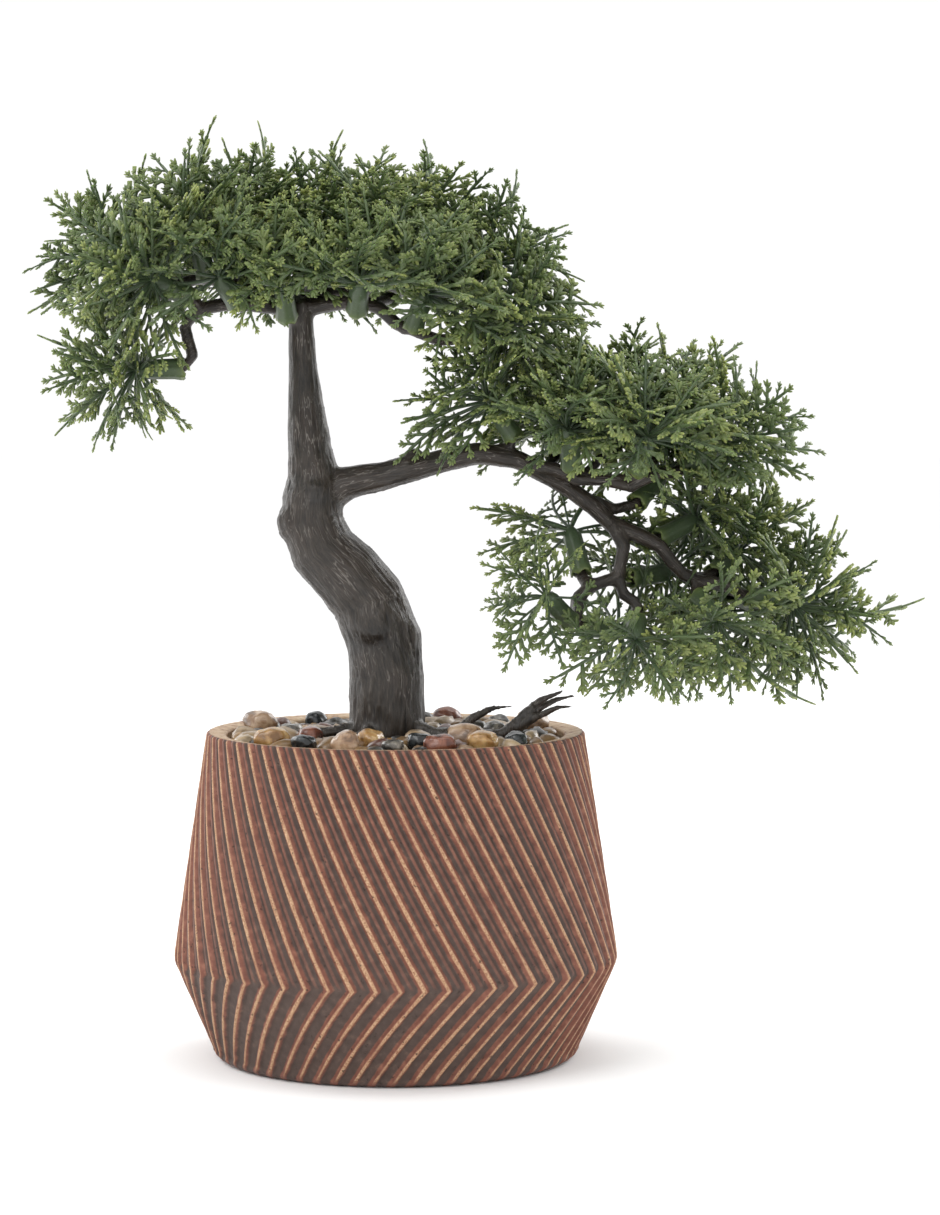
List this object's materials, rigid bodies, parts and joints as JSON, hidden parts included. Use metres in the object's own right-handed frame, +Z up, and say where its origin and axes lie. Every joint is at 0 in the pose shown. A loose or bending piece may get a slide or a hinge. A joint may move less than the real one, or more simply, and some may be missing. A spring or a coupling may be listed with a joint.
{
  "type": "bonsai tree in a pot",
  "caption": "Small artificial bonsai with a bent trunk and push-on leaf sprays, set in polished gravel in a shouldered pot with chevron ribs.",
  "frame": {"origin": "centre of the pot's flat underside, on the pot's axis", "axes": "+Z up along the pot's axis; the side limb reaches out to +X; the front is -Y"},
  "size_m": [0.2344, 0.1235, 0.2507],
  "materials": {
    "ribbed_ceramic": "matt reactive glaze: cream rubbed rib crests, red-brown rib sides, taupe grooves",
    "pulp_filler": "rough, hidden under the gravel",
    "gravel": "packed small polished gravel",
    "bark_plastic": "moulded bark grain, satin, dark grey brown",
    "leaf_plastic": "soft satin green, yellower at the leaf tips",
    "ochre_stone": "polished, slightly translucent ochre",
    "black_stone": "polished near-black",
    "tan_stone": "polished tan with cream bands",
    "grey_stone": "polished warm grey",
    "russet_stone": "polished reddish brown"
  },
  "bodies": {
    "root": {"filler_block": "pulp_filler", "gravel_bed": "gravel", "pot": "ribbed_ceramic", "spray_crown_back": "leaf_plastic", "spray_crown_back_left": "leaf_plastic", "spray_crown_back_right": "leaf_plastic", "spray_crown_far_left": "leaf_plastic", "spray_crown_far_left_low": "leaf_plastic", "spray_crown_far_right": "leaf_plastic", "spray_crown_front": "leaf_plastic", "spray_crown_front_left": "leaf_plastic", "spray_crown_front_right": "leaf_plastic", "spray_crown_left_front": "leaf_plastic", "spray_crown_left_low": "leaf_plastic", "spray_crown_left_top": "leaf_plastic", "spray_crown_right_front": "leaf_plastic", "spray_crown_right_front_top": "leaf_plastic", "spray_crown_right_low": "leaf_plastic", "spray_crown_right_top": "leaf_plastic", "spray_crown_top": "leaf_plastic", "spray_fork_back": "leaf_plastic", "spray_hanging_left": "leaf_plastic", "spray_hanging_low": "leaf_plastic", "spray_hanging_right": "leaf_plastic", "spray_hanging_top": "leaf_plastic", "spray_limb_back": "leaf_plastic", "spray_limb_back_high": "leaf_plastic", "spray_limb_tip": "leaf_plastic", "spray_limb_tip_back": "leaf_plastic", "spray_limb_under": "leaf_plastic", "spray_pad_back_left": "leaf_plastic", "spray_pad_back_right": "leaf_plastic", "spray_pad_front": "leaf_plastic", "spray_pad_front_left": "leaf_plastic", "spray_pad_inner": "leaf_plastic", "spray_pad_right": "leaf_plastic", "spray_pad_right_top": "leaf_plastic", "spray_pad_top": "leaf_plastic", "stone_01": "ochre_stone", "stone_02": "black_stone", "stone_03": "tan_stone", "stone_04": "grey_stone", "stone_05": "russet_stone", "stone_06": "ochre_stone", "stone_07": "black_stone", "stone_08": "tan_stone", "stone_09": "grey_stone", "stone_10": "russet_stone", "stone_11": "ochre_stone", "stone_12": "black_stone", "stone_13": "tan_stone", "stone_14": "grey_stone", "stone_15": "russet_stone", "stone_16": "ochre_stone", "stone_17": "black_stone", "stone_18": "tan_stone", "stone_19": "grey_stone", "stone_20": "russet_stone", "stone_21": "ochre_stone", "trunk": "bark_plastic"}
  },
  "joints": []
}
